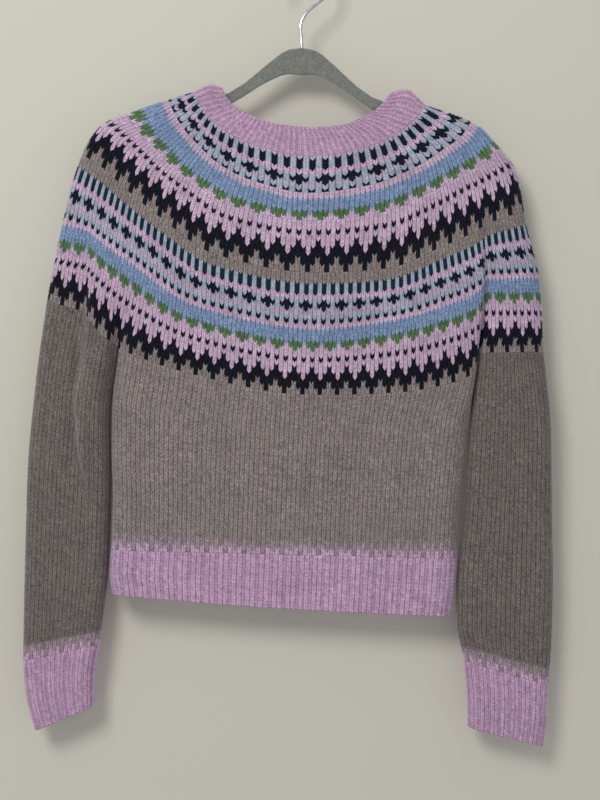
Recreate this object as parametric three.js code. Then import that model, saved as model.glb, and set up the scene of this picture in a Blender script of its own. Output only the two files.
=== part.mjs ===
import * as THREE from "three";

// Fair isle yoke cardigan on a velvet hanger. Millimetres, +Z up.
// The patterned back faces -Y and the buttoned fronts face +Y.
// The origin is the inside top of the hook, where a rail or a peg carries it.

const CLOTH = 2.4; // thickness of the stranded knit
const RIB = 3.0; // thickness of the ribbed bands
const SEAM = 0.2; // what each piece stops short of a seam
const YOKE_ROWS = 74;
const NECK_DROP = 19; // the front neck lies this much lower
const OPENING_X = [9, 2]; // middle of the opening at the neck and at the hem
const BAND_WIDTH = 30;
const BAND_THICK = 2.6;
const BUTTON_COUNT = 7;
const BUTTON_RADIUS = 7.5;
const BUTTON_THICK = 3;

// Columns of the yoke: part of the way from the left fold (0) to the right fold (1).
const U = [0, 0.08, 0.145, 0.165, 0.25, 0.35, 0.5, 0.65, 0.78, 0.86, 0.885, 0.94, 1];
const LEFT_ARM = 0.25; // column of the left underarm
const RIGHT_ARM = 0.876; // column of the right underarm
const LEFT_GAP = [0.2455, 0.2545]; // where the sleeve ends and the body starts
const RIGHT_GAP = [0.866, 0.886]; // where the body ends and the sleeve starts

// Levels of the yoke: row, then x, height and depth at each column.
const YOKE = [
  {
    row: 0, // neck seam
    x: [-114, -106, -97, -95, -77, -45, 11, 67, 100, 120, 123, 130, 135],
    z: [-150, -164, -175, -178, -192, -206, -215, -205, -190, -174, -171, -162, -154],
    y: [7, 7.5, 8, 8.5, 10, 12, 13, 12, 10, 8.5, 8, 7.5, 7],
  },
  {
    row: 14, // first blue band
    x: [-148, -134, -118, -114, -88, -52, 11, 80, 128, 157, 162, 181, 193],
    z: [-162, -187, -205, -209, -231, -249, -261, -250, -229, -210, -206, -192, -174],
    y: [7, 8, 8.5, 9, 11, 13, 14.5, 13, 11, 9, 8.5, 8, 7],
  },
  {
    row: 18, // first green points
    x: [-169, -153, -134, -130, -103, -60, 10, 85, 138, 169, 175, 195, 209],
    z: [-170, -196, -215, -220, -241, -263, -274, -263, -239, -220, -216, -202, -189],
    y: [7, 8, 8.5, 9, 11, 14, 15, 14, 11, 9, 8.5, 8, 7],
  },
  {
    row: 27, // first zigzag
    x: [-213, -193, -168, -163, -126, -75, 12, 97, 153, 187, 195, 217, 235],
    z: [-191, -204, -226, -231, -259, -291, -305, -295, -269, -249, -245, -232, -222],
    y: [7, 8, 9, 9.5, 12, 16, 17, 16, 13, 10.5, 10, 9, 7],
  },
  {
    row: 39, // second ticks
    x: [-235, -213, -190, -185, -146, -87, 14, 99, 157, 199, 204, 225, 248],
    z: [-234, -248, -266, -270, -299, -335, -351, -344, -320, -298, -293, -285, -278],
    y: [8, 9, 10, 11, 14, 18, 19, 18, 16, 14, 11, 10, 8],
  },
  {
    row: 53, // second blue band
    x: [-249, -235, -218, -211, -169, -103, 16, 106, 164, 202, 206, 233, 264],
    z: [-298, -301, -306, -312, -340, -380, -400, -388, -369, -349, -339, -337, -335],
    y: [9, 9, 9, 13, 17, 19, 20, 20, 19, 17, 8.5, 9, 9],
  },
  {
    row: 74, // lower edge
    x: [-262, -242, -221, -213, -184, -111, 13, 114, 168, 198, 202, 232, 272],
    z: [-379, -386, -391, -402, -427, -451, -470, -464, -453, -437, -419, -416, -414],
    y: [10, 10, 8, 17, 18, 20, 21, 21, 20, 16, 6.5, 10, 10],
  },
];

// The neckband: its free edge, its rolled top and the neck seam.
const NECK = [
  {
    row: 0,
    x: [-84, -77, -70, -68, -56, -33, 7, 47, 67, 79, 81, 90, 98],
    z: [-144.5, -156, -164, -166, -171, -180, -184, -180, -171, -164, -162, -153, -143],
    y: [6, 6.5, 7, 7.5, 9, 11, 12, 11, 9, 7.5, 7, 6.5, 6],
  },
  {
    row: 1,
    x: [-97, -89, -83, -80, -67, -39, 9, 58, 85, 100, 103, 110, 115],
    z: [-141.5, -159, -169, -171, -181, -193, -200, -193, -180, -168, -165, -154, -138],
    y: [6.5, 7, 7.5, 8, 9.5, 11.5, 12.5, 11.5, 9.5, 8, 7.5, 7, 6.5],
  },
  YOKE[0],
];
NECK[2] = { ...YOKE[0], row: 2 };

// Body tube under the arms: down (0 to 1), left and right sides, half depth.
const BODY = [
  { down: 0, left: -184, right: 199, depth: 20 },
  { down: 0.25, left: -187, right: 194.5, depth: 20 },
  { down: 0.5, left: -186, right: 191, depth: 19.5 },
  { down: 0.75, left: -182.5, right: 188, depth: 19 },
  { down: 1, left: -182, right: 187, depth: 18.5 },
];
const HEM = [
  { down: 0, left: -182, right: 187, depth: 18.5 },
  { down: 0.5, left: -182.5, right: 186, depth: 18 },
  { down: 1, left: -179, right: 184, depth: 17 },
];
const RIB_TOP = [-644, -641, -638]; // height at the left, middle and right
const HEM_LINE = [-692, -699, -701];

// Sleeves: outer and inner edges, half depth, how far back they hang and,
// on the left one, the ridge of the fold: part of the way across, and height.
const SLEEVE_L = [
  { down: 0, outer: [-262, -379], inner: [-184, -427], depth: 10, back: 0, at: 0.6, ridge: 6 },
  { down: 0.25, outer: [-271, -470], inner: [-191.5, -500], depth: 13, back: 1, at: 0.55, ridge: 8 },
  { down: 0.5, outer: [-276, -568], inner: [-188, -580], depth: 12, back: 2, at: 0.72, ridge: 5 },
  { down: 0.75, outer: [-275, -668], inner: [-187.5, -660], depth: 11.5, back: 3, at: 0.8, ridge: 1 },
  { down: 1, outer: [-273, -768], inner: [-194, -747], depth: 11, back: 3, at: 0.8, ridge: 0 },
];
const SLEEVE_R = [
  { down: 0, outer: [272, -414], inner: [202, -430], depth: 10, back: 0, at: 0.5, ridge: 0 },
  { down: 0.25, outer: [283, -490], inner: [198.5, -505], depth: 13, back: 1, at: 0.5, ridge: 0 },
  { down: 0.5, outer: [288, -580], inner: [196, -585], depth: 12, back: 2, at: 0.5, ridge: 0 },
  { down: 0.75, outer: [293, -675], inner: [191.5, -668], depth: 11.5, back: 3, at: 0.5, ridge: 0 },
  { down: 0.88, outer: [293.5, -722], inner: [192.5, -706], depth: 11, back: 3, at: 0.5, ridge: 0 },
  { down: 1, outer: [292, -771], inner: [203, -749], depth: 11, back: 3, at: 0.5, ridge: 0 },
];
const CUFF_L = [
  { down: 0, outer: [-273, -768], inner: [-194, -747], depth: 11, back: 3, at: 0.5, ridge: 0 },
  { down: 0.5, outer: [-268, -806], inner: [-198, -781], depth: 10.5, back: 3, at: 0.5, ridge: 0 },
  { down: 1, outer: [-257, -843], inner: [-197, -814], depth: 10, back: 3, at: 0.5, ridge: 0 },
];
const CUFF_R = [
  { down: 0, outer: [292, -771], inner: [203, -749], depth: 11, back: 3, at: 0.5, ridge: 0 },
  { down: 0.5, outer: [292, -806], inner: [208, -786], depth: 10.5, back: 3, at: 0.5, ridge: 0 },
  { down: 1, outer: [289, -838], inner: [210, -821], depth: 10, back: 3, at: 0.5, ridge: 0 },
];

// Hanger: half width, top edge and lower edge of the flat body.
const HANGER = [
  { x: 0, top: -97, low: -126 },
  { x: 14, top: -99, low: -125 },
  { x: 30, top: -110, low: -131 },
  { x: 46, top: -124, low: -140 },
  { x: 61, top: -137, low: -150.5 },
  { x: 77, top: -147.5, low: -160.5 },
  { x: 95, top: -154, low: -167.5 },
  { x: 118, top: -160, low: -174 },
  { x: 145, top: -166.5, low: -181 },
  { x: 170, top: -173, low: -187 },
  { x: 190, top: -184, low: -197 },
  { x: 203, top: -193, low: -204 },
  { x: 209, top: -199, low: -202 },
];
const HANGER_THICK = 6;
const HANGER_TILT = 0.6; // degrees, the right arm a little up
const WIRE = 3.6;
const HOOK_RADIUS = 27; // of the middle of the wire

const clamp = (v, a, b) => Math.min(b, Math.max(a, v));
const lerp = (a, b, t) => a + (b - a) * t;
const smooth = (t) => {
  const c = clamp(t, 0, 1);
  return c * c * (3 - 2 * c);
};

// Shape-keeping cubic through a short row of values.
function curve(xs, ys) {
  const n = xs.length;
  const h = [];
  const d = [];
  for (let i = 0; i < n - 1; i++) {
    h.push(xs[i + 1] - xs[i]);
    d.push((ys[i + 1] - ys[i]) / h[i]);
  }
  const m = new Array(n).fill(0);
  for (let i = 1; i < n - 1; i++) {
    if (d[i - 1] * d[i] > 0) {
      const a = 2 * h[i] + h[i - 1];
      const b = h[i] + 2 * h[i - 1];
      m[i] = (a + b) / (a / d[i - 1] + b / d[i]);
    }
  }
  m[0] = d[0];
  m[n - 1] = d[n - 2];
  return (x) => {
    let i = 0;
    while (i < n - 2 && x > xs[i + 1]) i++;
    const t = clamp((x - xs[i]) / h[i], -0.2, 1.2);
    const t2 = t * t;
    const t3 = t2 * t;
    return (
      (2 * t3 - 3 * t2 + 1) * ys[i] +
      (t3 - 2 * t2 + t) * h[i] * m[i] +
      (3 * t2 - 2 * t3) * ys[i + 1] +
      (t3 - t2) * h[i] * m[i + 1]
    );
  };
}

// A field of short rows: along the columns within a level, then down the levels.
function field(levels, key) {
  const rows = levels.map((l) => l.row);
  const across = levels.map((l) => curve(U, l[key]));
  return (u, v) => curve(rows, across.map((f) => f(u)))(v);
}

// One side of a knitted ring. The fold is rounded, and a groove runs up from
// each underarm.
function ringSide(levels, grooves) {
  const fx = field(levels, "x");
  const fz = field(levels, "z");
  const fy = field(levels, "y");
  return (u, v, front) => {
    const q = clamp(Math.min(u, 1 - u) / 0.035, 0, 1);
    let depth = fy(u, v) * Math.sqrt(q * (2 - q));
    if (grooves) {
      const g = smooth((v - 60) / 14);
      depth -= 12 * g * Math.exp(-(((u - LEFT_ARM) / 0.02) ** 2));
      depth -= 5 * g * Math.exp(-(((u - RIGHT_ARM) / 0.012) ** 2));
    }
    const rows = grooves ? v : 0;
    const drop = front ? NECK_DROP * clamp(1 - rows / 60, 0, 1) * Math.sin(Math.PI * u) : 0;
    return [fx(u, v), front ? depth : -depth, fz(u, v) - drop];
  };
}
const yoke = ringSide(YOKE, true);
const neck = ringSide(NECK, false);

const openingX = (z) => lerp(OPENING_X[0], OPENING_X[1], clamp((-z - 200) / 500, 0, 1));

// The column where a front stops beside the opening.
function edgeColumn(side, v, hand) {
  let lo = hand < 0 ? 0.25 : 0.5;
  let hi = hand < 0 ? 0.5 : 0.75;
  for (let i = 0; i < 30; i++) {
    const mid = (lo + hi) / 2;
    const p = side(mid, v, true);
    if (p[0] < openingX(p[2]) + (hand * BAND_WIDTH) / 2) lo = mid;
    else hi = mid;
  }
  return (lo + hi) / 2;
}

const BACK = [
  0, 0.012, 0.03, 0.055, 0.085, 0.115, 0.142, 0.156, 0.172, 0.2, 0.228, 0.2455, 0.25,
  0.2545, 0.272, 0.3, 0.35, 0.4, 0.45, 0.5, 0.55, 0.6, 0.65, 0.7, 0.75, 0.8, 0.845,
  0.866, 0.876, 0.886, 0.91, 0.94, 0.968, 0.988, 1,
];

// One ring of the yoke or the neckband, open at the front.
function openRing(side, v) {
  const ul = edgeColumn(side, v, -1);
  const ur = edgeColumn(side, v, 1);
  const points = [];
  const left = BACK.filter((u) => u > 0 && u <= 0.35).reverse();
  const right = BACK.filter((u) => u < 1 && u >= 0.65).reverse();
  for (const u of [ul, (ul + 0.35) / 2, ...left]) points.push(side(u, v, true));
  for (const u of BACK) points.push(side(u, v, false));
  for (const u of [...right, (ur + 0.65) / 2, ur]) points.push(side(u, v, true));
  return points;
}

// Part of the way round the flattened side of a tube, 0 at an edge.
const bend = (t, width, r) => {
  const q = clamp((Math.min(t, 1 - t) * width) / r, 0, 1);
  return Math.sqrt(q * (2 - q));
};

const bodyTables = (rows) => {
  const d = rows.map((r) => r.down);
  return {
    left: curve(d, rows.map((r) => r.left)),
    right: curve(d, rows.map((r) => r.right)),
    depth: curve(d, rows.map((r) => r.depth)),
  };
};
const bodyT = bodyTables(BODY);
const hemT = bodyTables(HEM);
const across = (line, t) => curve([0, 0.5, 1], line)(t);

function tubePoint(T, t, w, front) {
  const l = T.left(w);
  const r = T.right(w);
  const y = T.depth(w) * bend(t, r - l, 20);
  return [lerp(l, r, t), front ? y : -y, 0];
}

function bodySide(t, w, front) {
  const edge = yoke(lerp(LEFT_GAP[1], RIGHT_GAP[0], t), YOKE_ROWS, front);
  const top = tubePoint(bodyT, t, 0, front);
  const here = tubePoint(bodyT, t, w, front);
  const keep = 1 - smooth(w / 0.3);
  return [
    here[0] + (edge[0] - top[0]) * keep,
    here[1] + (edge[1] - top[1]) * keep,
    lerp(edge[2], across(RIB_TOP, t), w),
  ];
}
function hemSide(t, w, front) {
  const p = tubePoint(hemT, t, w, front);
  p[2] = lerp(across(RIB_TOP, t), across(HEM_LINE, t), w);
  return p;
}

const T_BACK = BACK.filter((u) => u >= LEFT_GAP[1] && u <= RIGHT_GAP[0]).map(
  (u) => (u - LEFT_GAP[1]) / (RIGHT_GAP[0] - LEFT_GAP[1]),
);

function openTube(side, w) {
  const edge = (hand) => {
    let lo = hand < 0 ? 0.15 : 0.3;
    let hi = hand < 0 ? 0.5 : 0.8;
    for (let i = 0; i < 30; i++) {
      const mid = (lo + hi) / 2;
      const p = side(mid, w, true);
      if (p[0] < openingX(p[2]) + (hand * BAND_WIDTH) / 2) lo = mid;
      else hi = mid;
    }
    return (lo + hi) / 2;
  };
  const tl = edge(-1);
  const tr = edge(1);
  const points = [];
  const left = T_BACK.filter((t) => t < 0.3).reverse();
  const right = T_BACK.filter((t) => t > 0.62).reverse();
  for (const t of [tl, (tl + 0.3) / 2, ...left]) points.push(side(t, w, true));
  for (const t of T_BACK) points.push(side(t, w, false));
  for (const t of [...right, (tr + 0.62) / 2, tr]) points.push(side(t, w, true));
  return points;
}

// Sleeves and cuffs: t runs from the outer edge (0) to the inner edge (1).
function sleeveTables(rows) {
  const d = rows.map((r) => r.down);
  const f = (pick) => curve(d, rows.map(pick));
  return {
    ox: f((r) => r.outer[0]),
    oz: f((r) => r.outer[1]),
    ix: f((r) => r.inner[0]),
    iz: f((r) => r.inner[1]),
    depth: f((r) => r.depth),
    back: f((r) => r.back),
    at: f((r) => r.at),
    ridge: f((r) => r.ridge),
  };
}
function sleeveTube(T, t, w, front) {
  const width = Math.abs(T.ox(w) - T.ix(w));
  let y = T.depth(w) * bend(t, width, 14);
  if (!front) {
    const s = smooth((t - T.at(w)) / 0.1 + 0.5);
    y += T.ridge(w) * (s - 0.35) * bend(t, width, 14);
  }
  return [
    lerp(T.ox(w), T.ix(w), t),
    T.back(w) + (front ? y : -y),
    lerp(T.oz(w), T.iz(w), t),
  ];
}
function sleeveSide(T, u0, u1) {
  return (t, w, front) => {
    const edge = yoke(lerp(u0, u1, t), YOKE_ROWS, front);
    const top = sleeveTube(T, t, 0, front);
    const here = sleeveTube(T, t, w, front);
    const keep = 1 - smooth(w / 0.22);
    return [
      here[0] + (edge[0] - top[0]) * keep,
      here[1] + (edge[1] - top[1]) * keep,
      here[2] + (edge[2] - top[2]) * keep,
    ];
  };
}
const leftT = sleeveTables(SLEEVE_L);
const rightT = sleeveTables(SLEEVE_R);
const cuffLT = sleeveTables(CUFF_L);
const cuffRT = sleeveTables(CUFF_R);
const leftSleeve = sleeveSide(leftT, 0, LEFT_GAP[0]);
const rightSleeve = sleeveSide(rightT, 1, RIGHT_GAP[1]);
const leftCuff = (t, w, front) => sleeveTube(cuffLT, t, w, front);
const rightCuff = (t, w, front) => sleeveTube(cuffRT, t, w, front);

function closedTube(side, w, ts) {
  const points = ts.map((t) => side(t, w, false));
  const home = ts.slice(1, -1).reverse();
  for (const t of home) points.push(side(t, w, true));
  return points;
}
const T_LEFT = BACK.filter((u) => u <= LEFT_GAP[0]).map((u) => u / LEFT_GAP[0]);
const T_RIGHT = BACK.filter((u) => u >= RIGHT_GAP[1])
  .map((u) => (1 - u) / (1 - RIGHT_GAP[1]))
  .reverse();

// A knitted sheet with an even thickness, from rows of points on its middle.
function sheet(name, rows, thick, closed, insets = [SEAM, SEAM]) {
  const M = rows.length;
  const N = rows[0].length;
  const P = rows.map((r) => r.map((p) => new THREE.Vector3(...p)));
  const at = (i, j) => P[i][closed ? (j + N) % N : clamp(j, 0, N - 1)];
  const normal = P.map((r, i) =>
    r.map((p, j) => {
      const a = new THREE.Vector3().subVectors(at(i, j + 1), at(i, j - 1));
      const up = P[Math.max(i - 1, 0)][j];
      const low = P[Math.min(i + 1, M - 1)][j];
      const b = new THREE.Vector3().subVectors(low, up);
      return a.cross(b).normalize();
    }),
  );
  const pull = (i, k, inset) => {
    for (let j = 0; j < N; j++) {
      const d = new THREE.Vector3().subVectors(P[k][j], P[i][j]);
      P[i][j] = P[i][j].clone().add(d.setLength(inset));
    }
  };
  pull(0, 1, insets[0]);
  pull(M - 1, M - 2, insets[1]);
  const verts = [];
  const side = (sign) => {
    const base = verts.length / 3;
    for (let i = 0; i < M; i++)
      for (let j = 0; j < N; j++) {
        const q = P[i][j].clone().addScaledVector(normal[i][j], (sign * thick) / 2);
        verts.push(q.x, q.y, q.z);
      }
    return base;
  };
  const A = side(1);
  const B = side(-1);
  const idx = [];
  const quad = (a, b, c, d) => idx.push(a, b, c, a, c, d);
  const J = closed ? N : N - 1;
  for (let i = 0; i < M - 1; i++)
    for (let j = 0; j < J; j++) {
      const k = (j + 1) % N;
      quad(A + i * N + j, A + i * N + k, A + (i + 1) * N + k, A + (i + 1) * N + j);
      quad(B + i * N + j, B + (i + 1) * N + j, B + (i + 1) * N + k, B + i * N + k);
    }
  for (let j = 0; j < J; j++) {
    const k = (j + 1) % N;
    const e = (M - 1) * N;
    quad(A + j, B + j, B + k, A + k);
    quad(A + e + j, A + e + k, B + e + k, B + e + j);
  }
  if (!closed)
    for (let i = 0; i < M - 1; i++) {
      const s = i * N;
      const n = s + N;
      quad(A + s, A + n, B + n, B + s);
      const f = s + N - 1;
      quad(A + f, B + f, B + f + N, A + f + N);
    }
  const g = new THREE.BufferGeometry();
  g.setAttribute("position", new THREE.Float32BufferAttribute(verts, 3));
  g.setIndex(idx);
  return piece(name, g);
}

const WOOL = new THREE.MeshStandardMaterial({ color: "#7d716b", roughness: 0.95 });
const PINK = new THREE.MeshStandardMaterial({ color: "#b08aa6", roughness: 0.95 });
const PATTERN = new THREE.MeshStandardMaterial({ color: "#8f93ab", roughness: 0.95 });
const SHELL = new THREE.MeshStandardMaterial({ color: "#6b5f5a", roughness: 0.45 });
const VELVET = new THREE.MeshStandardMaterial({ color: "#7f827a", roughness: 0.9 });
const CHROME = new THREE.MeshStandardMaterial({
  color: "#c9cbcd",
  roughness: 0.2,
  metalness: 1,
});
const group = new THREE.Group();
let material = WOOL;
function piece(name, geometry) {
  const mesh = new THREE.Mesh(geometry, material);
  mesh.name = name;
  group.add(mesh);
  return mesh;
}
const steps = (n, a = 0, b = 1) => Array.from({ length: n + 1 }, (_, i) => lerp(a, b, i / n));

material = PATTERN;
const yokeRows = [0, 6, 12, 18, 23, 28, 34, 40, 47, 54, 61, 68, 74];
sheet("yoke", yokeRows.map((v) => openRing(yoke, v)), CLOTH, false, [0.4, 0.3]);

material = PINK;
sheet("neckband", [0, 0.33, 0.66, 1, 1.33, 1.66, 2].map((v) => openRing(neck, v)), RIB, false, [0, 0.4]);

material = WOOL;
const bodyDown = [0, 0.06, 0.14, 0.24, 0.36, 0.52, 0.68, 0.84, 1];
sheet("body", bodyDown.map((w) => openTube(bodySide, w)), CLOTH, false);
const armDown = [0, 0.05, 0.11, 0.18, 0.27, 0.38, 0.5, 0.62, 0.75, 0.88, 1];
sheet(
  "sleeve_left",
  armDown.map((w) => closedTube(leftSleeve, w, T_LEFT)),
  CLOTH,
  true,
  [0.6, SEAM],
);
sheet(
  "sleeve_right",
  armDown.map((w) => closedTube(rightSleeve, w, T_RIGHT).reverse()),
  CLOTH,
  true,
  [1.9, SEAM],
);

material = PINK;
sheet("hem_rib", steps(4).map((w) => openTube(hemSide, w)), RIB, false, [SEAM, 0]);
sheet("cuff_left", steps(3).map((w) => closedTube(leftCuff, w, T_LEFT)), RIB, true, [SEAM, 0]);
sheet(
  "cuff_right",
  steps(3).map((w) => closedTube(rightCuff, w, T_RIGHT).reverse()),
  RIB,
  true,
  [SEAM, 0],
);

// Middle line of the opening, from the free edge of the neckband to the hem.
function openingLine() {
  const line = [];
  const onYoke = (side, v) => {
    const a = side(edgeColumn(side, v, -1), v, true);
    const b = side(edgeColumn(side, v, 1), v, true);
    return [(a[0] + b[0]) / 2, (a[1] + b[1]) / 2, (a[2] + b[2]) / 2];
  };
  const onTube = (side, w) => {
    const ring = openTube(side, w);
    const a = ring[0];
    const b = ring[ring.length - 1];
    return [(a[0] + b[0]) / 2, (a[1] + b[1]) / 2, (a[2] + b[2]) / 2];
  };
  for (const v of [0, 1]) line.push(onYoke(neck, v));
  for (const v of [0, 12, 23, 34, 47, 61]) line.push(onYoke(yoke, v));
  for (const w of [0, 0.24, 0.52, 0.84]) line.push(onTube(bodySide, w));
  for (const w of [0, 0.5, 1]) line.push(onTube(hemSide, w));
  return line;
}
const LINE = openingLine();
const downs = [0];
for (let i = 1; i < LINE.length; i++)
  downs.push(downs[i - 1] + Math.hypot(...LINE[i].map((c, k) => c - LINE[i - 1][k])));
const LENGTH = downs[downs.length - 1];
const lineX = curve(downs, LINE.map((p) => p[0]));
const lineY = curve(downs, LINE.map((p) => p[1]));
const lineZ = curve(downs, LINE.map((p) => p[2]));

function band(name, from, to, out) {
  const rows = steps(14, 0, LENGTH).map((s) =>
    steps(2, from, to).map((x) => [lineX(s) + x, lineY(s) + out, lineZ(s)]),
  );
  sheet(name, rows.map((r) => r.reverse()), BAND_THICK, false, [0, 0]);
}
band("button_band", -BAND_WIDTH / 2 + 0.4, BAND_WIDTH / 2 - 1.2, -0.3);
band("buttonhole_band", -BAND_WIDTH / 2, BAND_WIDTH / 2 + 5, 3.6);

material = SHELL;
for (let i = 0; i < BUTTON_COUNT; i++) {
  const s = lerp(14, LENGTH - 16, i / (BUTTON_COUNT - 1));
  const r = BUTTON_RADIUS;
  const h = BUTTON_THICK;
  const profile = [
    [0, 0],
    [r - 0.8, 0],
    [r, 0.9],
    [r - 0.1, h - 0.7],
    [r - 1.2, h],
    [r - 2.4, h - 0.5],
    [0, h - 0.9],
  ].map(([a, b]) => new THREE.Vector2(a, b));
  const slope = Math.atan2(lineY(s + 8) - lineY(s - 8), -(lineZ(s + 8) - lineZ(s - 8)));
  const y = lineY(s) + 3.6 + BAND_THICK / 2 + 0.3 + Math.abs(Math.sin(slope)) * r * 0.25;
  const b = piece("button_" + (i + 1), new THREE.LatheGeometry(profile, 20));
  b.position.set(lineX(s), y, lineZ(s));
  b.rotation.x = slope;
}

// The flat velvet body of the hanger.
material = VELVET;
{
  const tops = curve(HANGER.map((h) => h.x), HANGER.map((h) => h.top));
  const lows = curve(HANGER.map((h) => h.x), HANGER.map((h) => h.low));
  const shape = new THREE.Shape();
  const xs = [0, 7, 14, 22, 30, 38, 46, 61, 77, 95, 118, 145, 170, 190, 198, 203, 207, 209];
  const up = [...xs.slice(1).reverse().map((x) => [-x, tops(x)]), ...xs.map((x) => [x, tops(x)])];
  const low = [...xs.slice(1).reverse().map((x) => [x, lows(x)]), ...xs.map((x) => [-x, lows(x)])];
  for (const [i, p] of [...up, ...low].entries())
    if (i) shape.lineTo(p[0], p[1]);
    else shape.moveTo(p[0], p[1]);
  shape.closePath();
  const g = new THREE.ExtrudeGeometry(shape, {
    depth: HANGER_THICK - 2.4,
    bevelEnabled: true,
    bevelThickness: 1.2,
    bevelSize: 1.2,
    bevelOffset: -1.2,
    bevelSegments: 2,
  });
  g.translate(0, 0, -(HANGER_THICK - 2.4) / 2);
  g.rotateX(Math.PI / 2);
  const turn = THREE.MathUtils.degToRad(HANGER_TILT);
  g.translate(0, 0, 97);
  g.rotateY(-turn);
  g.translate(0, 0, -97);
  piece("hanger_body", g);
}

// The wire hook. It is set into the nub with its end 0.3 mm clear.
material = CHROME;
{
  const c = new THREE.Vector3(0, 0, -HOOK_RADIUS + WIRE / 2);
  const pts = [new THREE.Vector3(0, 0, -96.2), new THREE.Vector3(-1, 0, -84)];
  pts.push(new THREE.Vector3(-2.2, 0, -72), new THREE.Vector3(2.5, 0, -60));
  for (let a = -58; a <= 196; a += 18) {
    const r = THREE.MathUtils.degToRad(a);
    pts.push(
      new THREE.Vector3(c.x + HOOK_RADIUS * Math.cos(r), 0, c.z + HOOK_RADIUS * Math.sin(r)),
    );
  }
  const path = new THREE.CatmullRomCurve3(pts);
  const N = 48;
  const K = 10;
  const verts = [];
  for (let i = 0; i <= N; i++) {
    const p = path.getPointAt(i / N);
    const t = path.getTangentAt(i / N);
    const n = new THREE.Vector3(0, 1, 0);
    const b = new THREE.Vector3().crossVectors(t, n).normalize();
    for (let k = 0; k < K; k++) {
      const a = (k / K) * Math.PI * 2;
      const q = p
        .clone()
        .addScaledVector(n, (Math.cos(a) * WIRE) / 2)
        .addScaledVector(b, (Math.sin(a) * WIRE) / 2);
      verts.push(q.x, q.y, q.z);
    }
  }
  const idx = [];
  for (let i = 0; i < N; i++)
    for (let k = 0; k < K; k++) {
      const a = i * K + k;
      const b = i * K + ((k + 1) % K);
      idx.push(a, b, a + K, b, b + K, a + K);
    }
  for (let k = 1; k < K - 1; k++) {
    idx.push(0, k + 1, k);
    idx.push(N * K, N * K + k, N * K + k + 1);
  }
  const g = new THREE.BufferGeometry();
  g.setAttribute("position", new THREE.Float32BufferAttribute(verts, 3));
  g.setIndex(idx);
  piece("hanger_hook", g);
}

export default group;
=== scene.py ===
import bpy
import numpy as np
from mathutils import Matrix, Vector


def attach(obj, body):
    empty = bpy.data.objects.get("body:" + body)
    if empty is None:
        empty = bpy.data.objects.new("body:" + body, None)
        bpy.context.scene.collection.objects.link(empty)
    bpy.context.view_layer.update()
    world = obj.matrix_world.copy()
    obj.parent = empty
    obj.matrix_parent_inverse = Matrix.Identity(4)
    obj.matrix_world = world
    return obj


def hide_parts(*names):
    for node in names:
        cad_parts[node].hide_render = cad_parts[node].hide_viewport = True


# Fair isle yoke cardigan on a velvet hanger. The tables are in millimetres, +Z up.
# The patterned back faces -Y and the buttoned fronts face +Y. Left and right are as
# seen from the back.

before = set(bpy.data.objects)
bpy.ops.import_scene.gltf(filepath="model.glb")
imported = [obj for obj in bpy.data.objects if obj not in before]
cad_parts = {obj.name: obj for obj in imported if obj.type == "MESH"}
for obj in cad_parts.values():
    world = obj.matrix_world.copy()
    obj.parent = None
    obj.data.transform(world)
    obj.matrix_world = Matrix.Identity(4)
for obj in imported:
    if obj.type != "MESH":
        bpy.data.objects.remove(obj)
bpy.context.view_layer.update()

CLOTH = 2.4  # thickness of the stranded knit
RIB = 3.0  # thickness of the ribbed bands
YOKE_ROWS = 74
NECK_ROWS = 10
BODY_ROWS = 46
SLEEVE_ROWS = 94
HEM_ROWS = 16
CUFF_ROWS = 18
BAND_ROWS = 124
NECK_DROP = 19  # the front neck lies this much lower
DROP_ROWS = 60  # rows over which that evens out
FOLD_SPAN = 0.035  # part of the way across in which a fold is rounded
BODY_ROUND = 20  # rounding of the body's sides
SLEEVE_ROUND = 14
BODY_EASE = 0.3  # part of the way down by which the yoke's edge has eased away
SLEEVE_EASE = 0.22
HOME_X = 13  # middle of the back
OPENING_X = [9, 2]  # middle of the opening at the neck and at the hem
BAND_WIDTH = 30
BAND_THICK = 2.6

# Columns of the yoke: part of the way from the left fold (0) to the right fold (1).
U = [0, 0.08, 0.145, 0.165, 0.25, 0.35, 0.5, 0.65, 0.78, 0.86, 0.885, 0.94, 1]
LEFT_ARM = 0.25  # column of the left underarm
RIGHT_ARM = 0.876  # column of the right underarm
LEFT_GAP = [0.2455, 0.2545]  # where the sleeve ends and the body starts
RIGHT_GAP = [0.866, 0.886]  # where the body ends and the sleeve starts

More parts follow.
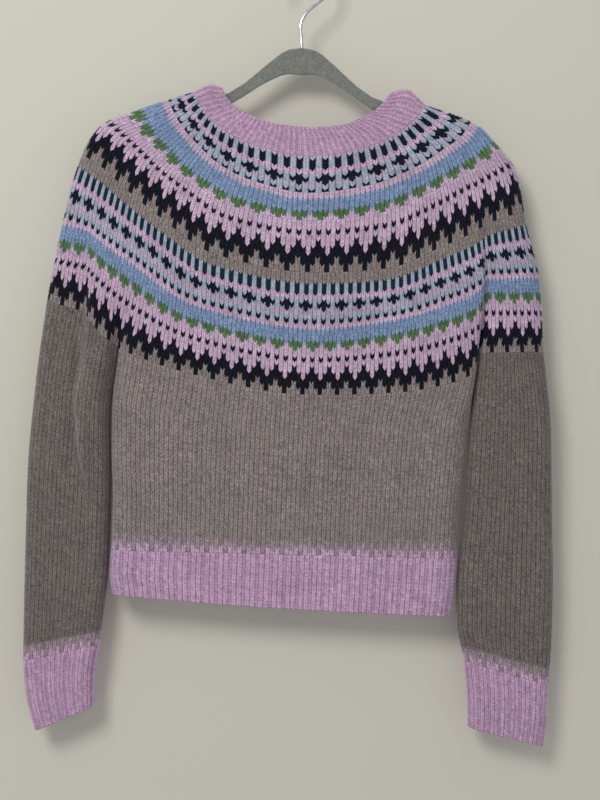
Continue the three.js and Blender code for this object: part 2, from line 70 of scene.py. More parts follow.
# Levels of the yoke: row, then x, height and depth at each column.
YOKE = [
    {
        "row": 0,  # neck seam
        "x": [-114, -106, -97, -95, -77, -45, 11, 67, 100, 120, 123, 130, 135],
        "z": [-150, -164, -175, -178, -192, -206, -215, -205, -190, -174, -171, -162, -154],
        "y": [7, 7.5, 8, 8.5, 10, 12, 13, 12, 10, 8.5, 8, 7.5, 7],
    },
    {
        "row": 14,  # first blue band
        "x": [-148, -134, -118, -114, -88, -52, 11, 80, 128, 157, 162, 181, 193],
        "z": [-162, -187, -205, -209, -231, -249, -261, -250, -229, -210, -206, -192, -174],
        "y": [7, 8, 8.5, 9, 11, 13, 14.5, 13, 11, 9, 8.5, 8, 7],
    },
    {
        "row": 18,  # first green points
        "x": [-169, -153, -134, -130, -103, -60, 10, 85, 138, 169, 175, 195, 209],
        "z": [-170, -196, -215, -220, -241, -263, -274, -263, -239, -220, -216, -202, -189],
        "y": [7, 8, 8.5, 9, 11, 14, 15, 14, 11, 9, 8.5, 8, 7],
    },
    {
        "row": 27,  # first zigzag
        "x": [-213, -193, -168, -163, -126, -75, 12, 97, 153, 187, 195, 217, 235],
        "z": [-191, -204, -226, -231, -259, -291, -305, -295, -269, -249, -245, -232, -222],
        "y": [7, 8, 9, 9.5, 12, 16, 17, 16, 13, 10.5, 10, 9, 7],
    },
    {
        "row": 39,  # second ticks
        "x": [-235, -213, -190, -185, -146, -87, 14, 99, 157, 199, 204, 225, 248],
        "z": [-234, -248, -266, -270, -299, -335, -351, -344, -320, -298, -293, -285, -278],
        "y": [8, 9, 10, 11, 14, 18, 19, 18, 16, 14, 11, 10, 8],
    },
    {
        "row": 53,  # second blue band
        "x": [-249, -235, -218, -211, -169, -103, 16, 106, 164, 202, 206, 233, 264],
        "z": [-298, -301, -306, -312, -340, -380, -400, -388, -369, -349, -339, -337, -335],
        "y": [9, 9, 9, 13, 17, 19, 20, 20, 19, 17, 8.5, 9, 9],
    },
    {
        "row": 74,  # lower edge
        "x": [-262, -242, -221, -213, -184, -111, 13, 114, 168, 198, 202, 232, 272],
        "z": [-379, -386, -391, -402, -427, -451, -470, -464, -453, -437, -419, -416, -414],
        "y": [10, 10, 8, 17, 18, 20, 21, 21, 20, 16, 6.5, 10, 10],
    },
]

# The neckband: its free edge, its rolled top and the neck seam.
NECK = [
    {
        "row": 0,
        "x": [-84, -77, -70, -68, -56, -33, 7, 47, 67, 79, 81, 90, 98],
        "z": [-144.5, -156, -164, -166, -171, -180, -184, -180, -171, -164, -162, -153, -143],
        "y": [6, 6.5, 7, 7.5, 9, 11, 12, 11, 9, 7.5, 7, 6.5, 6],
    },
    {
        "row": 1,
        "x": [-97, -89, -83, -80, -67, -39, 9, 58, 85, 100, 103, 110, 115],
        "z": [-141.5, -159, -169, -171, -181, -193, -200, -193, -180, -168, -165, -154, -138],
        "y": [6.5, 7, 7.5, 8, 9.5, 11.5, 12.5, 11.5, 9.5, 8, 7.5, 7, 6.5],
    },
    YOKE[0],
]
NECK[2] = {**YOKE[0], "row": 2}

# Body and hem: part of the way down, left and right sides, half depth.
BODY = [
    dict(down=0, left=-184, right=199, depth=20),
    dict(down=0.25, left=-187, right=194.5, depth=20),
    dict(down=0.5, left=-186, right=191, depth=19.5),
    dict(down=0.75, left=-182.5, right=188, depth=19),
    dict(down=1, left=-182, right=187, depth=18.5),
]
HEM = [
    dict(down=0, left=-182, right=187, depth=18.5),
    dict(down=0.5, left=-182.5, right=186, depth=18),
    dict(down=1, left=-179, right=184, depth=17),
]
RIB_TOP = [-644, -641, -638]  # height at the left, middle and right
HEM_LINE = [-692, -699, -701]

# Sleeves and cuffs: part of the way down, outer and inner edges (x, z), half depth, how
# far back they hang, and the ridge of the fold: part of the way across, and height.
SLEEVE_L = [
    dict(down=0, outer=(-262, -379), inner=(-184, -427), depth=10, back=0, at=0.6, ridge=6),
    dict(down=0.25, outer=(-271, -470), inner=(-191.5, -500), depth=13, back=1, at=0.55, ridge=8),
    dict(down=0.5, outer=(-276, -568), inner=(-188, -580), depth=12, back=2, at=0.72, ridge=5),
    dict(down=0.75, outer=(-275, -668), inner=(-187.5, -660), depth=11.5, back=3, at=0.8, ridge=1),
    dict(down=1, outer=(-273, -768), inner=(-194, -747), depth=11, back=3, at=0.8, ridge=0),
]
SLEEVE_R = [
    dict(down=0, outer=(272, -414), inner=(202, -430), depth=10, back=0, at=0.5, ridge=0),
    dict(down=0.25, outer=(283, -490), inner=(198.5, -505), depth=13, back=1, at=0.5, ridge=0),
    dict(down=0.5, outer=(288, -580), inner=(196, -585), depth=12, back=2, at=0.5, ridge=0),
    dict(down=0.75, outer=(293, -675), inner=(191.5, -668), depth=11.5, back=3, at=0.5, ridge=0),
    dict(down=0.88, outer=(293.5, -722), inner=(192.5, -706), depth=11, back=3, at=0.5, ridge=0),
    dict(down=1, outer=(292, -771), inner=(203, -749), depth=11, back=3, at=0.5, ridge=0),
]
CUFF_L = [
    dict(down=0, outer=(-273, -768), inner=(-194, -747), depth=11, back=3, at=0.5, ridge=0),
    dict(down=0.5, outer=(-268, -806), inner=(-198, -781), depth=10.5, back=3, at=0.5, ridge=0),
    dict(down=1, outer=(-257, -843), inner=(-197, -814), depth=10, back=3, at=0.5, ridge=0),
]
CUFF_R = [
    dict(down=0, outer=(292, -771), inner=(203, -749), depth=11, back=3, at=0.5, ridge=0),
    dict(down=0.5, outer=(292, -806), inner=(208, -786), depth=10.5, back=3, at=0.5, ridge=0),
    dict(down=1, outer=(289, -838), inner=(210, -821), depth=10, back=3, at=0.5, ridge=0),
]

# Folds and creases: from (x, z) to (x, z), half width, height.
FOLDS = [
    dict(start=(-203, -426), end=(-213, -485), width=11, height=5),
    dict(start=(-213, -485), end=(-215, -560), width=11, height=4),
    dict(start=(-225, -416), end=(-228, -486), width=8, height=-4),
    dict(start=(-228, -486), end=(-227, -571), width=9, height=-4),
    dict(start=(-171, -428), end=(-132, -452), width=6, height=-2.5),
    dict(start=(-193, -409), end=(-149, -429), width=9, height=3),
]

# Grooves up from the underarms: place across, depth, and width in the same measure.
GROOVE_TOP = 60
GROOVES = [
    dict(at=LEFT_ARM, deep=12, width=0.02),
    dict(at=RIGHT_ARM, deep=5, width=0.012),
]

# Yarns: letter on the chart, name, colour, flecks, sheen.
YARNS = [
    dict(letter="Q", name="wool_grey_pink", colour="#b0a0b2", fleck="#cabccb", sheen=0.3),
    dict(letter="K", name="wool_pink", colour="#c2a2bd", fleck="#dcc3d7", sheen=0.3),
    dict(letter="N", name="wool_navy", colour="#0c0d17", fleck="#1f2233", sheen=0.08),
    dict(letter="D", name="wool_teal", colour="#0f1f2a", fleck="#20343f", sheen=0.08),
    dict(letter="L", name="wool_pale_blue", colour="#96a4ba", fleck="#b5c0cf", sheen=0.3),
    dict(letter="B", name="wool_blue", colour="#6d88b0", fleck="#9aaecb", sheen=0.3),
    dict(letter="G", name="wool_green", colour="#466a40", fleck="#67865c", sheen=0.15),
    dict(letter="T", name="wool_taupe", colour="#7c706d", fleck="#a69b96", sheen=0.3),
    dict(letter="P", name="wool_rib_pink", colour="#bf96b7", fleck="#dbb9d3", sheen=0.3),
    dict(letter="M", name="wool_mixed", colour="#90808a", fleck="#b8a3b0", sheen=0.3),
    dict(letter="X", name="wool_navy_points", colour="#0b0c15", fleck="#1b1e2d", sheen=0.08),
    # A darker copy of the taupe for the sleeves: painted shade, as they hang further out of the
    # light.
    dict(letter="S", name="wool_taupe_sleeve_painted_shade", colour="#665b57", fleck="#8c827c", sheen=0.3),
]
LETTERS = "".join(row["letter"] for row in YARNS)
HANGING = [LETTERS.index("N"), LETTERS.index("D")]  # stitches that reach half a row down

# The chart, from the neck down: one string a row, each repeated round the yoke.
POINTS = ["KKXK", "KKXK", "KXXX", "KXXX", "XXXX", "XXTX", "XXTX", "XTTT", "XTTT"]
CROSSES = ["NLLL", "NNLN", "NLLL"]
LEAVES = ["BGGG", "KGGG", "KKGK"]
CHART = ["Q"] + ["NL"] * 3 + ["K"] * 2 + CROSSES + ["Q", "L", "NL"] + ["K"] * 2
CHART += ["B"] * 4 + LEAVES + ["K"] * 3 + ["NK"] + ["K"] * 2 + POINTS + ["T"] * 3
CHART += ["DL"] * 3 + ["K"] * 2 + CROSSES + ["Q", "Q", "L", "NL"] + ["K"] * 2
CHART += ["B"] * 4 + LEAVES + ["K"] * 2 + ["NK"] + ["K"] * 2 + POINTS
SPECKLES = ["TMTM", "MMTM", "PMPM", "PPPT"]  # the last rows above a rib

# The yoke in rounds, each with more stitches than the one above.
ROUNDS = [
    dict(first=0, last=12, stitches=108),
    dict(first=12, last=21, stitches=168),
    dict(first=21, last=36, stitches=208),
    dict(first=36, last=55, stitches=240),
    dict(first=55, last=74, stitches=264),
]
BODY_STITCHES = 156
SLEEVE_STITCHES = 44

# Ribs: stitches after which they repeat, knit ones among them, and how deep the purl lies.
NECK_RIB = dict(period=2, knits=1, deep=0.5)
HEM_RIB = dict(period=3, knits=2, deep=0.8)
BAND_RIB = dict(period=2, knits=1, deep=0.8)

# Relief and painted shade (lightness: dark in the valleys, light on the crests) at the four
# columns of a stitch, at its ends and at its middle, and how far the line between two rows is
# pulled down there, in rows.
END_HEIGHT = np.array([-0.75, 0.05, -0.5, 0.05])
MID_HEIGHT = np.array([-0.7, 0.6, -0.3, 0.6])
END_PAINTED_SHADE = np.array([0.0, 0.55, 0.4, 0.55])
MID_PAINTED_SHADE = np.array([0.05, 1.0, 0.5, 1.0])
SHEAR = np.array([-0.4, 0.05, 0.52, 0.05])
# An edge that is turned in gets a fixed painted shade of 0.6 and no tone.
LIP_SHADE = [0.6, 0.0]  # lightness and tone of an edge that is turned in
rng = np.random.default_rng(7)


def lerp(a, b, t):
    return a + (b - a) * t


def smooth(t):
    c = np.clip(t, 0, 1)
    return c * c * (3 - 2 * c)


# Shape-keeping cubic through a short row of values.
def curve(xs, ys):
    xs = np.asarray(xs, float)
    ys = np.asarray(ys, float)
    h = np.diff(xs).reshape((-1,) + (1,) * (ys.ndim - 1))
    d = np.diff(ys, axis=0) / h
    m = np.zeros_like(ys)
    m[0] = d[0]
    m[-1] = d[-1]
    a = 2 * h[1:] + h[:-1]
    b = h[1:] + 2 * h[:-1]
    with np.errstate(divide="ignore", invalid="ignore"):
        mean = (a + b) / (a / d[:-1] + b / d[1:])
    m[1:-1] = np.where(d[:-1] * d[1:] > 0, mean, 0)

    def at(x):
        i = np.clip(np.searchsorted(xs, x, side="left") - 1, 0, len(xs) - 2)
        step = xs[i + 1] - xs[i]
        t = np.clip((x - xs[i]) / step, -0.2, 1.2)
        t2 = t * t
        t3 = t2 * t
        start = (2 * t3 - 3 * t2 + 1) * ys[i] + (t3 - 2 * t2 + t) * step * m[i]
        return start + (3 * t2 - 2 * t3) * ys[i + 1] + (t3 - t2) * step * m[i + 1]

    return at


# --- The shape: a side function takes places across, a place down and front or back.


def field(levels, key):
    rows = [level["row"] for level in levels]
    across = [curve(U, level[key]) for level in levels]
    return lambda u, v: curve(rows, np.array([f(u) for f in across]))(v)


# Yoke or neckband. The folds are rounded, and a groove runs up from each underarm.
def ring_side(levels, grooves):
    fx = field(levels, "x")
    fz = field(levels, "z")
    fy = field(levels, "y")

    def side(u, v, front):
        q = np.clip(np.minimum(u, 1 - u) / FOLD_SPAN, 0, 1)
        depth = fy(u, v) * np.sqrt(q * (2 - q))
        if grooves:
            g = smooth((v - GROOVE_TOP) / (YOKE_ROWS - GROOVE_TOP))
            for groove in GROOVES:
                gap = (u - groove["at"]) / groove["width"]
                depth = depth - groove["deep"] * g * np.exp(-(gap**2))
        low = 0
        if front:
            rows = v if grooves else 0
            low = NECK_DROP * np.clip(1 - rows / DROP_ROWS, 0, 1) * np.sin(np.pi * u)
        return np.stack([fx(u, v), depth if front else -depth, fz(u, v) - low], axis=1)

    return side


yoke_side = ring_side(YOKE, True)
neck_levels = ring_side(NECK, False)
rib_top = curve([0, 0.5, 1], RIB_TOP)
hem_line = curve([0, 0.5, 1], HEM_LINE)


def neck_side(u, w, front):
    return neck_levels(u, (len(NECK) - 1) * w, front)


# The later columns of a table, as curves of its first.
def sections(rows):
    table = np.array([np.hstack(list(row.values())) for row in rows])
    return curve(table[:, 0], table[:, 1:])


# Part of a flattened tube's depth, 0 at its edges.
def bend(t, width, r):
    q = np.clip(np.minimum(t, 1 - t) * width / r, 0, 1)
    return np.sqrt(q * (2 - q))


def tube_point(rows, t, w, front, z):
    left, right, depth = sections(rows)(w)
    y = depth * bend(t, right - left, BODY_ROUND)
    return np.stack([lerp(left, right, t), y if front else -y, z], axis=1)


def body_side(t, w, front):
    edge = yoke_side(lerp(LEFT_GAP[1], RIGHT_GAP[0], t), YOKE_ROWS, front)
    top = tube_point(BODY, t, 0, front, edge[:, 2])
    here = tube_point(BODY, t, w, front, lerp(edge[:, 2], rib_top(t), w))
    return here + (edge - top) * (1 - smooth(w / BODY_EASE))


def hem_side(t, w, front):
    return tube_point(HEM, t, w, front, lerp(rib_top(t), hem_line(t), w))


def sleeve_tube(rows, t, w, front):
    ox, oz, ix, iz, depth, back, at, ridge = sections(rows)(w)
    round_off = bend(t, abs(ox - ix), SLEEVE_ROUND)
    y = depth * round_off
    if not front:
        y = y + ridge * (smooth((t - at) / 0.1 + 0.5) - 0.35) * round_off
    return np.stack([lerp(ox, ix, t), back + (y if front else -y), lerp(oz, iz, t)], axis=1)


def sleeve_side(rows, u0, u1):
    def side(t, w, front):
        edge = yoke_side(lerp(u0, u1, t), YOKE_ROWS, front)
        top = sleeve_tube(rows, t, 0, front)
        return sleeve_tube(rows, t, w, front) + (edge - top) * (1 - smooth(w / SLEEVE_EASE))

    return side


def cuff_side(rows):
    return lambda t, w, front: sleeve_tube(rows, t, w, front)


def opening_x(z):
    return lerp(OPENING_X[0], OPENING_X[1], np.clip((-z - 200) / 500, 0, 1))


TURN = 0.5 - 0.5 * np.cos(np.pi * np.linspace(0, 1, 420))  # places across, dense at the folds


# A ring of the cloth, from the left front edge round the back to the right front edge.
# The fourth column is the place across, unfolded: below 0 and above 1 on the fronts.
def open_ring(side, rows):
    def ring(v):
        front = side(TURN, v / rows, True)
        off = front[:, 0] - opening_x(front[:, 2])
        left = np.column_stack([front, -TURN])[off < -BAND_WIDTH / 2][::-1]
        right = np.column_stack([front, 2 - TURN])[off > BAND_WIDTH / 2][::-1]
        back = np.column_stack([side(TURN, v / rows, False), TURN])
        return np.vstack([left, back, right])

    return ring


def closed_ring(side, rows, turned):
    def ring(v):
        back = side(TURN, v / rows, False)
        front = side(TURN, v / rows, True)
        loop = np.vstack([back, front[::-1]])
        return loop[::-1] if turned else loop

    return ring


def fold_height(x, z):
    total = np.zeros_like(x)
    for fold in FOLDS:
        x0, z0 = fold["start"]
        dx, dz = np.subtract(fold["end"], fold["start"])
        t = np.clip(((x - x0) * dx + (z - z0) * dz) / (dx * dx + dz * dz), 0, 1)
        away = np.hypot(x - x0 - t * dx, z - z0 - t * dz)
        fade = smooth(np.minimum(t, 1 - t) / 0.3) * 0.75 + 0.25
        total = total + fold["height"] * fade * np.exp(-((away / fold["width"]) ** 2))
    return total


# --- The knitting: a fine grid laid over the shape, four columns and two levels a stitch.


def lengths(line):
    steps = np.linalg.norm(np.diff(line[:, :3], axis=0), axis=1)
    return np.concatenate([[0], np.cumsum(steps)])


def arc(line):
    length = lengths(line)
    return length / length[-1]


# Columns keep to the middle of the back, and the cloth widens mostly at the folds.
def anchored(places, line, middle):
    back = (line[:, 3] >= 0) & (line[:, 3] <= 1)
    home = np.interp(HOME_X, line[back, 0], arc(line)[back])
    growth = lengths(line)[-1] / lengths(middle)[-1]
    q = np.abs(2 * places - 1)
    widen = q - 0.85 * np.sin(2 * np.pi * q) / (2 * np.pi)
    out = (q + (growth - 1) * widen) / growth
    return np.where(places < 0.5, home * (1 - out), home + (1 - home) * out)


def grid_normals(grid, closed):
    down = np.gradient(grid, axis=0)
    if closed:
        along = np.roll(grid, -1, axis=1) - np.roll(grid, 1, axis=1)
    else:
        along = np.gradient(grid, axis=1)
    normal = np.cross(down, along)
    return normal / np.maximum(np.linalg.norm(normal, axis=2, keepdims=True), 1e-9)


# The middle of the cloth with its folds, before the stitches. On rails the columns run
# where the shape's own columns do.
def lay_out(ring, levels, places, closed, rails):
    middle = ring((levels[0] + levels[-1]) / 2)
    grid = np.zeros((len(levels), len(places), 3))
    for i, v in enumerate(levels):
        line = ring(v)
        if closed:
            line = np.vstack([line, line[:1]])
        along = arc(line)
        free = closed or rails or line.shape[1] == 3
        spots = places if free else anchored(places, line, middle)
        if rails:
            along = np.interp(line[:, 3], middle[:, 3], arc(middle))
            along = (along - along[0]) / (along[-1] - along[0])
        for k in range(3):
            grid[i, :, k] = np.interp(spots, along, line[:, k])
    normal = grid_normals(grid, closed)
    rise = fold_height(grid[..., 0], grid[..., 2]) * np.clip(-normal[..., 1] * 1.5, 0, 1)
    grid = grid + normal * rise[..., None]
    return grid, grid_normals(grid, closed)


# 1 where the column stands out, 0 in a purl groove of a rib.
def standing(phase, stitch, rib):
    if not rib:
        return np.ones(len(phase))
    purl = (stitch % rib["period"]) >= rib["knits"]
    before = (np.roll(stitch, 1) % rib["period"]) >= rib["knits"]
    return np.where((phase == 0) & (purl != before), 0.35, np.where(purl, 0.0, 1.0))


# Four rows of an edge turned in, the last of them `reach` levels inside.
def lip(grid, normal, reach, inner):
    rows = [(reach, inner), (2, inner), (0, inner), (0, 0)]
    return np.array([grid[a] - normal[a] * o for a, o in rows])


# One stretch of knitting with the same stitches in each row: points, faces, yarns, and
# painted shade and tone. The arms of each V run up and out, so the lines between rows zigzag.
def knit(ring, first, last, widths, closed, yarn, thick, rib=None, lips=(0, 0), rails=False):
    count = len(widths)
    edges = np.concatenate([[0], np.cumsum(widths)]) / np.sum(widths)
    places = (edges[:-1, None] + np.diff(edges)[:, None] * (np.arange(4) / 4)).ravel()
    if not closed:
        places = np.append(places, 1.0)
    columns = len(places)
    levels = np.arange(first, last + 0.01, 0.5)
    grid, normal = lay_out(ring, levels, places, closed, rails)

    phase = np.arange(columns) % 4
    stitch = np.minimum(np.arange(columns) // 4, count - 1)
    raised = standing(phase, stitch, rib)
    fade = np.clip(levels - first, 0, 1) * np.clip(last - levels, 0, 1)
    slack = rng.normal(0, 0.035, (len(levels), count))[:, stitch]
    shift = (SHEAR[phase] * raised)[None, :] * fade[:, None] + slack * fade[:, None]
    place = np.clip((levels - first)[:, None] * 2 + shift * 2, 0, len(levels) - 1.001)
    k = place.astype(int)
    t = (place - k)[..., None]
    c = np.arange(columns)[None, :]
    points = grid[k, c] * (1 - t) + grid[k + 1, c] * t
    facing = normal[k, c] * (1 - t) + normal[k + 1, c] * t

    mid = (np.arange(len(levels)) % 2 == 1)[:, None]
    height = np.where(mid, MID_HEIGHT[phase][None, :], END_HEIGHT[phase][None, :])
    height = height * (0.3 + 0.7 * raised)[None, :]
    height = height + rng.normal(0, 0.07, (len(levels), count))[:, stitch]
    height = height * np.where(fade > 0, 1, 0.4)[:, None]
    if rib:
        height = height - rib["deep"] * (1 - raised)[None, :]
    points = points + facing * (thick / 2 + height)[..., None]
    # Painted shade: darker in the valleys between stitches and in purl grooves, lighter on the
    # crests.
    light = np.where(mid, MID_PAINTED_SHADE[phase][None, :], END_PAINTED_SHADE[phase][None, :])
    light = light * (0.4 + 0.6 * raised)[None, :] + 0.15 * (1 - raised)[None, :]
    tone = rng.normal(0, 1, (len(levels) // 2 + 1, count + 1))
    tone = tone[np.arange(len(levels)) // 2][:, (np.arange(columns) + 1) // 4 % (count + 1)]

    rows = [points]
    shades = [np.stack([light, tone], axis=2)]
    plain_lip = np.full((4, columns, 2), LIP_SHADE)
    if lips[0]:
        rows.insert(0, lip(grid, normal, lips[0], thick / 2))
        shades.insert(0, plain_lip)
    if lips[1]:
        rows.append(lip(grid[::-1], normal[::-1], lips[1], thick / 2)[::-1])
        shades.append(plain_lip)
    points = np.concatenate(rows)
    shades = np.concatenate(shades)

    spans = np.arange(len(points) - 1)
    a = spans[:, None] * columns
    j = np.arange(columns if closed else columns - 1)[None, :]
    n = (j + 1) % columns
    faces = np.stack([a + j, a + columns + j, a + columns + n, a + n], axis=2)
    half = np.clip(spans - (4 if lips[0] else 0), 0, len(levels) - 2)
    stitches = np.minimum(j // 4, count - 1)
    colours = yarn((first + half // 2)[:, None], stitches)
    above = yarn(np.maximum(first + (half - 1) // 2, first)[:, None], stitches)
    hangs = np.isin(above, HANGING) & (half % 2 == 0)[:, None]
    colours = np.broadcast_to(np.where(hangs, above, colours), faces.shape[:2])
    return points.reshape(-1, 3), faces.reshape(-1, 4), colours.ravel(), shades.reshape(-1, 2)


def charted(rows):
    table = np.array([[LETTERS.index(row[j % len(row)]) for j in range(4)] for row in rows])
    return lambda row, stitch: table[np.clip(row, 0, len(rows) - 1).astype(int), stitch % 4]


def plain(letter):
    return lambda row, stitch: np.full(np.broadcast(row, stitch).shape, LETTERS.index(letter))


def even(count):
    return np.ones(count)


# The stitches are stretched in the middle of the back and closer at the shoulders.
def spread(count):
    return 1 + 0.1 * np.cos(4 * np.pi * ((np.arange(count) + 0.5) / count - 0.5))


def ribbed(count, *widths):
    return np.tile(widths, count)


# --- Materials


def srgb(code):
    parts = [int(code[i : i + 2], 16) / 255 for i in (1, 3, 5)]
    return [((c + 0.055) / 1.055) ** 2.4 if c > 0.04045 else c / 12.92 for c in parts] + [1.0]


def noise(tree, scale, detail):
    made = tree.nodes.new("ShaderNodeTexNoise")
    made.inputs["Scale"].default_value = scale
    made.inputs["Detail"].default_value = detail
    place = tree.nodes.new("ShaderNodeTexCoord")
    tree.links.new(place.outputs["Object"], made.inputs["Vector"])
    return made.outputs["Fac"]


def stretched(tree, value, low, high, to_low=0.0, to_high=1.0):
    made = tree.nodes.new("ShaderNodeMapRange")
    tree.links.new(value, made.inputs["Value"])
    made.inputs["From Min"].default_value = low
    made.inputs["From Max"].default_value = high
    made.inputs["To Min"].default_value = to_low
    made.inputs["To Max"].default_value = to_high
    return made.outputs["Result"]


def mixed(tree, factor, a, b):
    made = tree.nodes.new("ShaderNodeMix")
    made.data_type = "RGBA"
    tree.links.new(factor, made.inputs["Factor"])
    made.inputs[6].default_value = srgb(a)
    made.inputs[7].default_value = srgb(b)
    return made.outputs[2]


def times(tree, a, b):
    made = tree.nodes.new("ShaderNodeMath")
    made.operation = "MULTIPLY"
    tree.links.new(a, made.inputs[0])
    tree.links.new(b, made.inputs[1])
    return made.outputs[0]


def stored(tree, word):
    made = tree.nodes.new("ShaderNodeAttribute")
    made.attribute_name = word
    return made.outputs["Fac"]


# Brushed wool: two shades of fibre, slow changes along the yarn and fine fibre relief.
# Knitted wool has painted shade between its stitches and painted light on their crests,
# and is a little uneven from stitch to stitch.
def wool(name, colour, fleck, sheen, knitted=True):
    made = bpy.data.materials.new(name)
    made.use_nodes = True
    tree = made.node_tree
    shader = tree.nodes["Principled BSDF"]
    fibre = noise(tree, 750, 4)
    yarn = stretched(tree, noise(tree, 260, 2), 0.3, 0.7, 0.86, 1.12)
    slow = stretched(tree, noise(tree, 30, 2), 0.3, 0.7, 0.94, 1.06)
    value = times(tree, yarn, slow)
    if knitted:
        # Painted shade and light of the stitches, from the stored values, darken and lighten the
        # colour.
        value = times(tree, value, stretched(tree, stored(tree, "lay"), 0, 1, 0.42, 1.3))
        value = times(tree, value, stretched(tree, stored(tree, "tone"), -2, 2, 0.84, 1.16))
    shade = tree.nodes.new("ShaderNodeHueSaturation")
    flecked = mixed(tree, stretched(tree, fibre, 0.42, 0.6), colour, fleck)
    tree.links.new(flecked, shade.inputs["Color"])
    tree.links.new(value, shade.inputs["Value"])
    tree.links.new(shade.outputs["Color"], shader.inputs["Base Color"])
    shader.inputs["Roughness"].default_value = 0.95
    shader.inputs["Specular IOR Level"].default_value = 0.15
    shader.inputs["Sheen Weight"].default_value = sheen
    shader.inputs["Sheen Roughness"].default_value = 0.55
    bump = tree.nodes.new("ShaderNodeBump")
    bump.inputs["Strength"].default_value = 0.7
    bump.inputs["Distance"].default_value = 0.0005
    tree.links.new(fibre, bump.inputs["Height"])
    tree.links.new(bump.outputs["Normal"], shader.inputs["Normal"])
    return made


def gloss(name, colour, other, metal, rough):
    made = bpy.data.materials.new(name)
    made.use_nodes = True
    tree = made.node_tree
    shader = tree.nodes["Principled BSDF"]
    cloud = noise(tree, 160, 3)
    tint = mixed(tree, stretched(tree, cloud, 0.35, 0.65), colour, other)
    tree.links.new(tint, shader.inputs["Base Color"])
    worn = stretched(tree, cloud, 0.3, 0.7, rough, rough + 0.1)
    tree.links.new(worn, shader.inputs["Roughness"])
    shader.inputs["Metallic"].default_value = metal
    return made


WOOLS = [wool(row["name"], row["colour"], row["fleck"], row["sheen"]) for row in YARNS]


def link(name, mesh):
    made = bpy.data.objects.new(name, mesh)
    bpy.context.scene.collection.objects.link(made)
    return made


# One piece from its stretches of knitting, a material for each yarn in it.
def piece(name, *stretches):
    counts = [len(points) for points, _, _, _ in stretches]
    starts = np.concatenate([[0], np.cumsum(counts)[:-1]])
    points = np.concatenate([s[0] for s in stretches]) / 1000
    faces = np.concatenate([s[1] + start for s, start in zip(stretches, starts)])
    colours = np.concatenate([s[2] for s in stretches])
    shades = np.concatenate([s[3] for s in stretches])
    used, index = np.unique(colours, return_inverse=True)
    mesh = bpy.data.meshes.new(name)
    mesh.from_pydata(points.tolist(), [], faces.tolist())
    for k in used:
        mesh.materials.append(WOOLS[k])
    mesh.polygons.foreach_set("material_index", index.ravel().astype(np.int32))
    mesh.polygons.foreach_set("use_smooth", np.ones(len(faces), bool))
    # Store each point's painted shade and its random tone for the material.
    for k, word in enumerate(("lay", "tone")):
        values = mesh.attributes.new(word, "FLOAT", "POINT")
        values.data.foreach_set("value", shades[:, k].astype(np.float32))
    mesh.update()
    return link(name, mesh)


# --- The pieces, in the order in which their stitches are drawn

yoke_ring = open_ring(yoke_side, 1)
neck_ring = open_ring(neck_side, NECK_ROWS)
body_ring = open_ring(body_side, BODY_ROWS)
hem_ring = open_ring(hem_side, HEM_ROWS)

chart = charted(CHART)
bands = [
    knit(yoke_ring, r["first"], r["last"], spread(r["stitches"]), False, chart, CLOTH)
    for r in ROUNDS
]
yoke_upper = piece("yoke_upper", *bands[:3])
yoke_lower = piece("yoke_lower", *bands[3:])


def ribbing(name, ring, rows, widths, closed, rib, lips, rails=False):
    made = knit(ring, 0, rows, widths, closed, plain("P"), RIB, rib, lips, rails)
    return piece(name, made)


def stockinette(name, ring, rows, count, closed, letter):
    fabric = charted([letter] * (rows - len(SPECKLES)) + SPECKLES)
    return piece(name, knit(ring, 0, rows, even(count), closed, fabric, CLOTH))


neck_widths = ribbed(92, 3.6, 2)
hem_widths = ribbed(53, 5, 5, 3.2)
cuff_widths = ribbed(17, 4, 4, 2.6)
neckband = ribbing(
    "neckband_knit", neck_ring, NECK_ROWS, neck_widths, False, NECK_RIB, (6, 0), True
)
body = stockinette("body_knit", body_ring, BODY_ROWS, BODY_STITCHES, False, "T")
hem = ribbing("hem_rib_knit", hem_ring, HEM_ROWS, hem_widths, False, HEM_RIB, (0, 8))


def arm(name, rows, cuff_rows, u0, u1, turned):
    ring = closed_ring(sleeve_side(rows, u0, u1), SLEEVE_ROWS, turned)
    cuff_ring = closed_ring(cuff_side(cuff_rows), CUFF_ROWS, turned)
    # The sleeves are knitted in the darker taupe that paints their shade.
    sleeve = stockinette(
        "sleeve_" + name + "_knit", ring, SLEEVE_ROWS, SLEEVE_STITCHES, True, "S"
    )
    cuff = ribbing(
        "cuff_" + name + "_knit", cuff_ring, CUFF_ROWS, cuff_widths, True, HEM_RIB, (0, 8)
    )
    return sleeve, cuff


sleeve_left, cuff_left = arm("left", SLEEVE_L, CUFF_L, 0, LEFT_GAP[0], False)
sleeve_right, cuff_right = arm("right", SLEEVE_R, CUFF_R, 1, RIGHT_GAP[1], True)


# Middle line of the opening, from the free edge of the neckband to the hem.
def opening_line():
    stops = [(neck_ring, v) for v in (0, NECK_ROWS / 2)]
    stops += [(yoke_ring, v) for v in (0, 12, 23, 34, 47, 61)]
    stops += [(body_ring, BODY_ROWS * w) for w in (0, 0.24, 0.52, 0.84)]
    stops += [(hem_ring, HEM_ROWS * w) for w in (0, 0.5, 1)]
    rings = [ring(v)[:, :3] for ring, v in stops]
    return np.array([(r[0] + r[-1]) / 2 for r in rings])


line = opening_line()
opening_length = lengths(line)[-1]
opening_at = curve(lengths(line), line)


# A front band, from x = low to x = high about that line, and `out` in front of it.
def band(name, low, high, out):
    def ring(v):
        middle = opening_at(opening_length * v / BAND_ROWS)
        x = np.array([high, lerp(low, high, 0.5), low])
        return middle + np.column_stack([x, out + 0 * x, 0 * x])

    widths = ribbed(6, 3.2, 1.8)
    return piece(
        name, knit(ring, 0, BAND_ROWS, widths, False, plain("P"), BAND_THICK, BAND_RIB, (1, 1))
    )


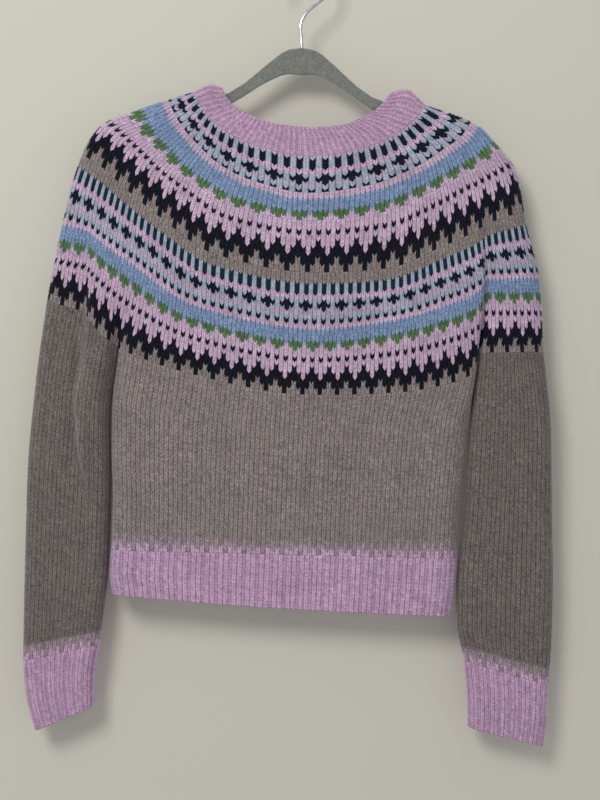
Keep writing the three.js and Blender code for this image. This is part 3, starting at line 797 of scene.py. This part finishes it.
button_band = band("button_band_knit", 0.4 - BAND_WIDTH / 2, BAND_WIDTH / 2 - 1.2, -0.3)
buttonhole_band = band("buttonhole_band_knit", -BAND_WIDTH / 2, BAND_WIDTH / 2 + 5, 3.6)


def dress(name, material):
    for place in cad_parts[name].material_slots:
        place.material = material


shell = gloss("button_shell", "#5f5550", "#74685f", 0.0, 0.25)
for i in range(1, 8):
    dress("button_" + str(i), shell)
dress("hanger_body", wool("velvet", "#6f726a", "#83867d", 0.7, False))
dress("hanger_hook", gloss("hook_chrome", "#c4c6c8", "#d4d6d8", 1.0, 0.15))

PIECES = [
    (yoke_upper, "yoke", "pattern"),
    (yoke_lower, "yoke", "pattern"),
    (neckband, "neckband", "pink_rib"),
    (body, "body", "taupe"),
    (hem, "hem_rib", "pink_rib"),
    (sleeve_left, "sleeve_left", "taupe"),
    (sleeve_right, "sleeve_right", "taupe"),
    (cuff_left, "cuff_left", "pink_rib"),
    (cuff_right, "cuff_right", "pink_rib"),
    (button_band, "button_band", "pink_rib"),
    (buttonhole_band, "buttonhole_band", "pink_rib"),
]
for made, solid, finish in PIECES:
    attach(made, "root")
    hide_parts(solid)

# --- The room, in metres

WALL_COLOUR = "#d6d3c4"
WALL_Y = 0.034
FLOOR_Z = -1.3
HALF_WIDTH = 2.5
NEAR_Y = -3
WALL_TOP = 1.4


# The wall and the floor show only from their front, and let light through to the fronts.
def backdrop(name, corners):
    mesh = bpy.data.meshes.new(name)
    mesh.from_pydata(corners, [], [(0, 1, 2, 3)])
    paint = bpy.data.materials.new(name)
    paint.use_nodes = True
    tree = paint.node_tree
    shader = tree.nodes["Principled BSDF"]
    shader.inputs["Base Color"].default_value = srgb(WALL_COLOUR)
    shader.inputs["Roughness"].default_value = 0.9
    shader.inputs["Specular IOR Level"].default_value = 0.2
    clear = tree.nodes.new("ShaderNodeBsdfTransparent")
    behind = tree.nodes.new("ShaderNodeNewGeometry")
    seen = tree.nodes.new("ShaderNodeLightPath")
    front = tree.nodes.new("ShaderNodeMixShader")
    shown = tree.nodes.new("ShaderNodeMixShader")
    tree.links.new(behind.outputs["Backfacing"], front.inputs[0])
    tree.links.new(shader.outputs["BSDF"], front.inputs[1])
    tree.links.new(clear.outputs["BSDF"], front.inputs[2])
    tree.links.new(seen.outputs["Is Camera Ray"], shown.inputs[0])
    tree.links.new(clear.outputs["BSDF"], shown.inputs[1])
    tree.links.new(front.outputs[0], shown.inputs[2])
    tree.links.new(shown.outputs[0], tree.nodes["Material Output"].inputs["Surface"])
    mesh.materials.append(paint)
    link(name, mesh)


# Corners of a flat sheet between its near and far edges, each (y, z).
def across(near, far):
    ends = [(-HALF_WIDTH, near), (HALF_WIDTH, near), (HALF_WIDTH, far), (-HALF_WIDTH, far)]
    return [(x, y, z) for x, (y, z) in ends]


backdrop("wall", across((WALL_Y, FLOOR_Z), (WALL_Y, WALL_TOP)))
backdrop("floor", across((NEAR_Y, FLOOR_Z), (WALL_Y, FLOOR_Z)))

# The camera looks straight at the back, rolled by the tilt at which the hanger hangs.
RIGHT = Vector((0.9992, 0, 0.0401))
UP = Vector((-0.0401, 0, 0.9992))
AIM = Vector((0.0132, -0.012, -0.476))
DISTANCE = 1.5
HALF_VIEW = 0.428  # half the height seen at that distance

scene = bpy.context.scene
camera = link("camera", bpy.data.cameras.new("camera"))
away = RIGHT.cross(UP)
matrix = Matrix((RIGHT, UP, away)).transposed().to_4x4()
matrix.translation = AIM + away * DISTANCE
camera.matrix_world = matrix
camera.data.sensor_fit = "VERTICAL"
camera.data.angle = 2 * np.arctan(HALF_VIEW / DISTANCE)
scene.camera = camera


def lamp(name, place, aim, size, power, colour):
    light = bpy.data.lights.new(name, "AREA")
    light.shape = "DISK"
    light.size = size
    light.energy = power
    light.color = colour
    made = link(name, light)
    made.location = place
    made.rotation_euler = (Vector(aim) - Vector(place)).to_track_quat("-Z", "Y").to_euler()


lamp("window", (-1.0, -2.1, 0.8), (0.1, 0, -0.45), 1.0, 31, (1.0, 0.985, 0.97))
lamp("fill", (1.6, 1.6, 0.4), (0, 0, -0.45), 1.6, 14, (1.0, 1.0, 1.0))
world = bpy.data.worlds.new("room")
world.use_nodes = True
world.node_tree.nodes["Background"].inputs["Color"].default_value = (0.93, 0.95, 1.0, 1.0)
world.node_tree.nodes["Background"].inputs["Strength"].default_value = 0.5
scene.world = world
scene.view_settings.view_transform = "Standard"
